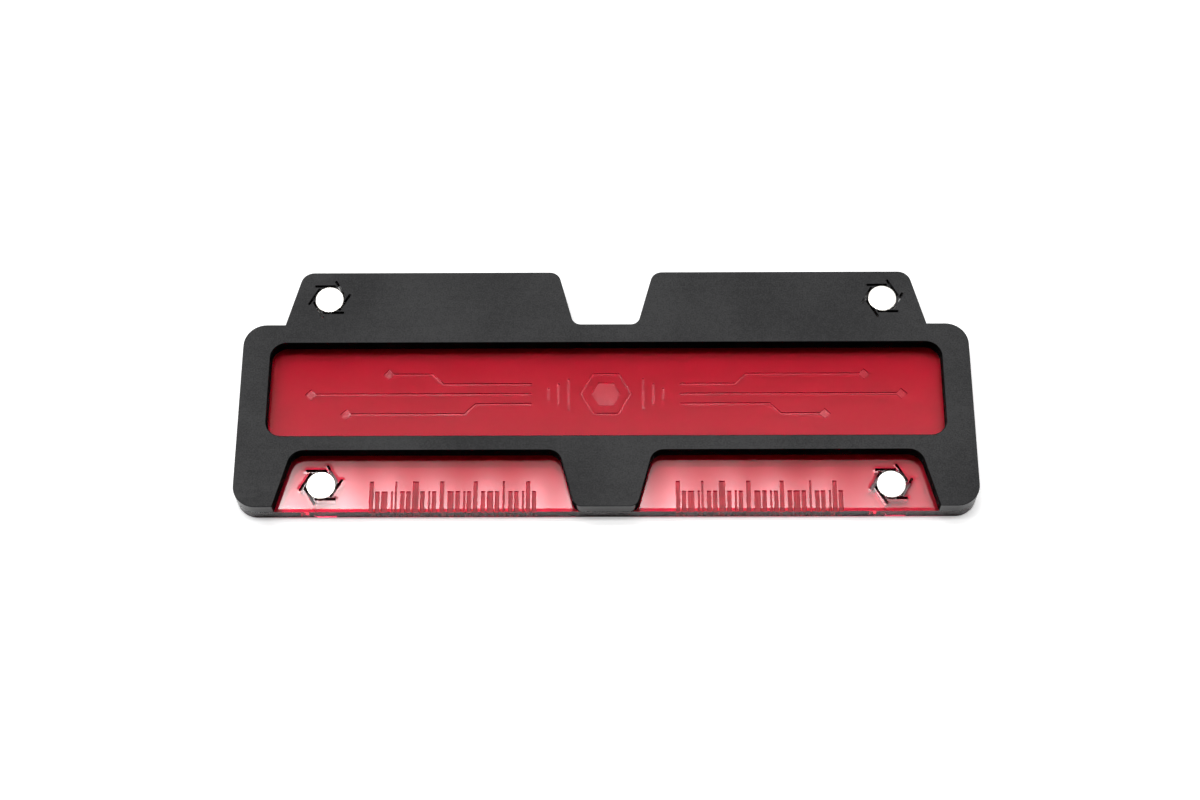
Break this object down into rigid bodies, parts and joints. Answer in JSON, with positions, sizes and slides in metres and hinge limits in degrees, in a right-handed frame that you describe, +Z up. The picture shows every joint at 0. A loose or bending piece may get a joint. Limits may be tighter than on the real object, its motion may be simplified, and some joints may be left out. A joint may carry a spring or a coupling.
{
  "type": "dice tray",
  "caption": "Flat linkable dice tray: a black acrylic top with a long window, bonded to a see-through red base, with magnet tabs behind and matching recesses in front.",
  "frame": {"origin": "middle of the overall box in plan, on the underside of the base sheet", "axes": "+X along the tray to its right, +Y from the front recesses to the rear tabs, +Z up"},
  "size_m": [0.16, 0.0564, 0.006],
  "materials": {
    "black_acrylic": "opaque black cast acrylic sheet, matte grained face, glossy laser-cut edges",
    "red_acrylic": "see-through red cast acrylic sheet, polished faces, frosted laser engraving, glossy laser-cut edges",
    "nickel": "bright nickel plating"
  },
  "bodies": {
    "root": {"top_plate": "black_acrylic", "base_plate": "red_acrylic", "magnet_front_left": "nickel", "magnet_front_right": "nickel", "magnet_rear_left": "nickel", "magnet_rear_right": "nickel"}
  },
  "joints": []
}
